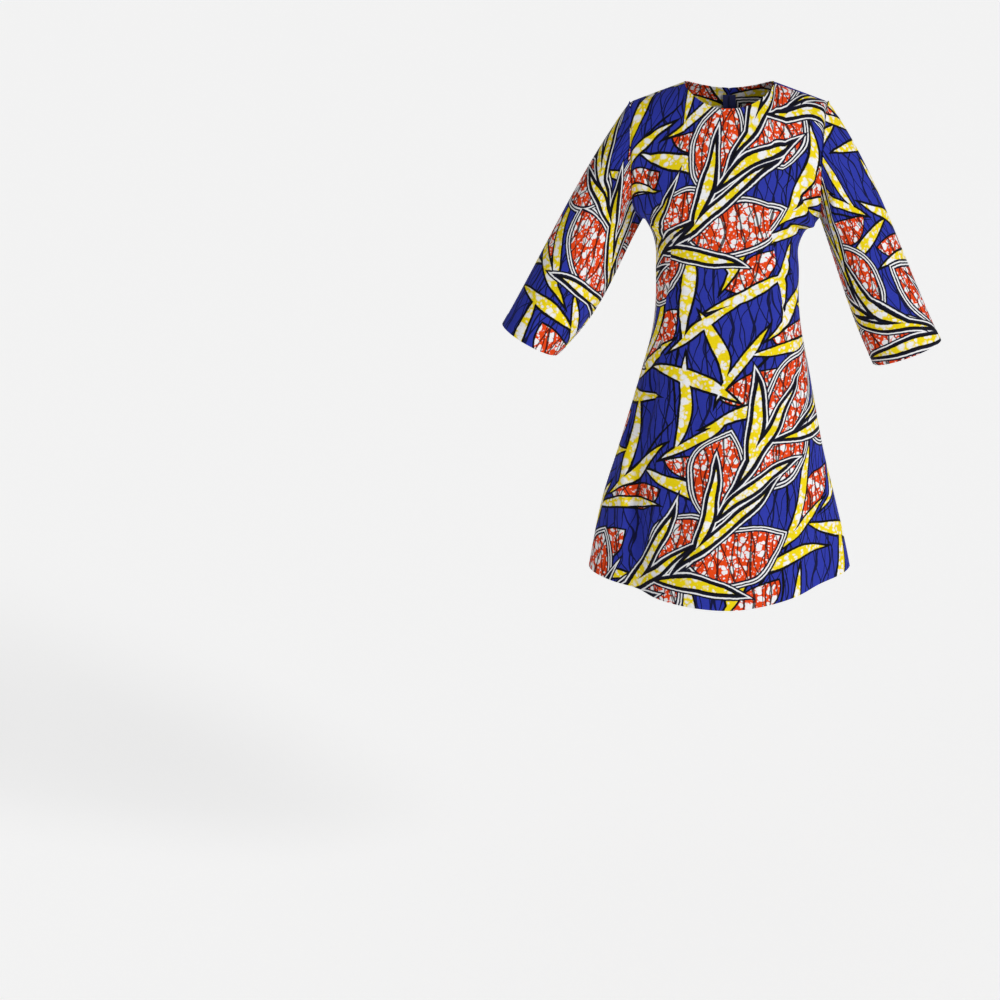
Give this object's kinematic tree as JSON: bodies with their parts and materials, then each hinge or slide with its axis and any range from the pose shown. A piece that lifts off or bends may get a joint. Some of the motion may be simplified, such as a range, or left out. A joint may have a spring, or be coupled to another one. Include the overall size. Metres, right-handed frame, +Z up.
{
  "type": "ankara wax print dress",
  "caption": "Hollow A-line dress in wax-printed cotton with a round neck, set-in three-quarter sleeves, a curved hem and a concealed back zip.",
  "frame": {"origin": "midway between the two side neck points, on the shoulders that hold the dress up", "axes": "+Z up, front faces -Y, the wearer's left is at +X"},
  "size_m": [0.8171, 0.317, 0.9661],
  "materials": {
    "wax_print": "plain-weave cotton with a wax-resist print, matte with a light calendered sheen",
    "zip_tape": "woven polyester tape",
    "zip_metal": "lacquered zinc casting"
  },
  "bodies": {
    "dress": {"front": "wax_print", "back_left": "wax_print", "back_right": "wax_print", "sleeve_left": "wax_print", "sleeve_right": "wax_print", "zip_tape": "zip_tape", "zip_slider": "zip_metal"},
    "zip_pull": {"zip_pull": "zip_metal"}
  },
  "joints": [
    {"name": "pull_swing", "type": "hinge", "parent": "dress", "child": "zip_pull", "pos_m": [0, 0.08066, -0.02911], "axis": [1, 0, 0], "range_deg": [0, 160]}
  ]
}
